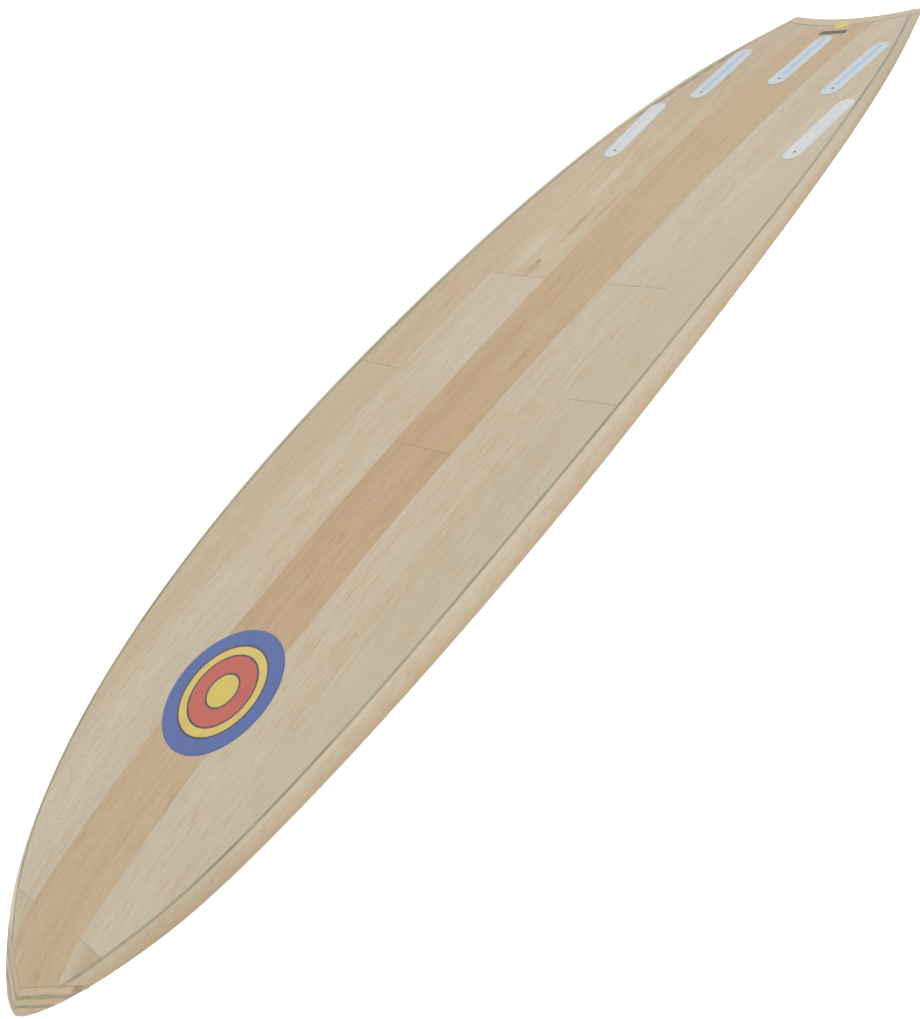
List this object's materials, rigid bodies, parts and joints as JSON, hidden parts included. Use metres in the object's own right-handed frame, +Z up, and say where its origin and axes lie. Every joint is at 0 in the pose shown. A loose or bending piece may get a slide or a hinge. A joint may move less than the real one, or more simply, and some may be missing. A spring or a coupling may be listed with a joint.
{
  "type": "surfboard",
  "caption": "Wooden sandwich surfboard, bottom up: staggered planks, laminated nose, crescent tail, shaped rails, and empty slotted fin boxes with clamp screws.",
  "frame": {"origin": "centre of the footprint on the ground, with the board lying bottom up on its nose and tail tips", "axes": "+Y from nose to tail along the board, +X across it towards the rail that faces the picture's viewer, +Z up, out of the bottom skin"},
  "size_m": [0.553, 1.8778, 0.0998],
  "materials": {
    "eps_foam": "expanded bead foam",
    "epoxy_glue": "grey-green filled epoxy under a clear gloss coat",
    "screw_steel": "satin stainless",
    "box_white": "moulded, satin",
    "box_blue": "moulded, satin, pale blue",
    "plug_plastic": "moulded, satin",
    "wood_tan": "clear epoxy laminate over straight-grained light wood",
    "wood_pale": "clear epoxy laminate over straight-grained pale wood",
    "wood_rail": "clear epoxy laminate over light wood"
  },
  "bodies": {
    "board": {"bottom_plank_centre_aft": "wood_tan", "bottom_plank_centre_fore": "wood_tan", "bottom_plank_inner_left_aft": "wood_pale", "bottom_plank_inner_left_mid": "wood_pale", "bottom_plank_inner_left_nose": "wood_pale", "bottom_plank_inner_right_aft": "wood_pale", "bottom_plank_inner_right_mid": "wood_pale", "bottom_plank_inner_right_nose": "wood_pale", "bottom_plank_outer_left_aft": "wood_pale", "bottom_plank_outer_left_fore": "wood_pale", "bottom_plank_outer_right_aft": "wood_pale", "bottom_plank_outer_right_fore": "wood_pale", "deck_plank_centre": "wood_tan", "deck_plank_inner_left": "wood_pale", "deck_plank_inner_right": "wood_pale", "deck_plank_outer_left": "wood_pale", "deck_plank_outer_right": "wood_pale", "fin_box_centre": "box_blue", "fin_box_front_left": "box_white", "fin_box_front_right": "box_white", "fin_box_rear_left": "box_blue", "fin_box_rear_right": "box_blue", "foam_core": "eps_foam", "leash_plug_bar": "screw_steel", "leash_plug_cup": "plug_plastic", "nose_glue_line_inner": "epoxy_glue", "nose_glue_line_outer": "epoxy_glue", "nose_strip_inner_left": "wood_rail", "nose_strip_inner_right": "wood_rail", "nose_strip_outer_left": "wood_rail", "nose_strip_outer_right": "wood_rail", "nose_tip_block": "wood_rail", "rail_glue_line_left": "epoxy_glue", "rail_glue_line_right": "epoxy_glue", "rail_left": "wood_rail", "rail_right": "wood_rail", "tail_glue_line": "epoxy_glue", "tail_strip": "wood_rail"},
    "fin_screw_centre": {"fin_screw_centre": "screw_steel"},
    "fin_screw_rear_right": {"fin_screw_rear_right": "screw_steel"},
    "fin_screw_rear_left": {"fin_screw_rear_left": "screw_steel"},
    "fin_screw_front_right": {"fin_screw_front_right": "screw_steel"},
    "fin_screw_front_left": {"fin_screw_front_left": "screw_steel"}
  },
  "joints": [
    {"name": "fin_screw_centre_travel", "type": "slide", "parent": "board", "child": "fin_screw_centre", "axis": [0, 0.5316, -0.847], "range_m": [-0.002, 0.004]},
    {"name": "fin_screw_rear_right_travel", "type": "slide", "parent": "board", "child": "fin_screw_rear_right", "axis": [0.0493, 0.5444, -0.8374], "range_m": [-0.002, 0.004]},
    {"name": "fin_screw_rear_left_travel", "type": "slide", "parent": "board", "child": "fin_screw_rear_left", "axis": [-0.0493, 0.5444, -0.8374], "range_m": [-0.002, 0.004]},
    {"name": "fin_screw_front_right_travel", "type": "slide", "parent": "board", "child": "fin_screw_front_right", "axis": [0.0643, 0.5736, -0.8166], "range_m": [-0.002, 0.004]},
    {"name": "fin_screw_front_left_travel", "type": "slide", "parent": "board", "child": "fin_screw_front_left", "axis": [-0.0643, 0.5736, -0.8166], "range_m": [-0.002, 0.004]}
  ]
}
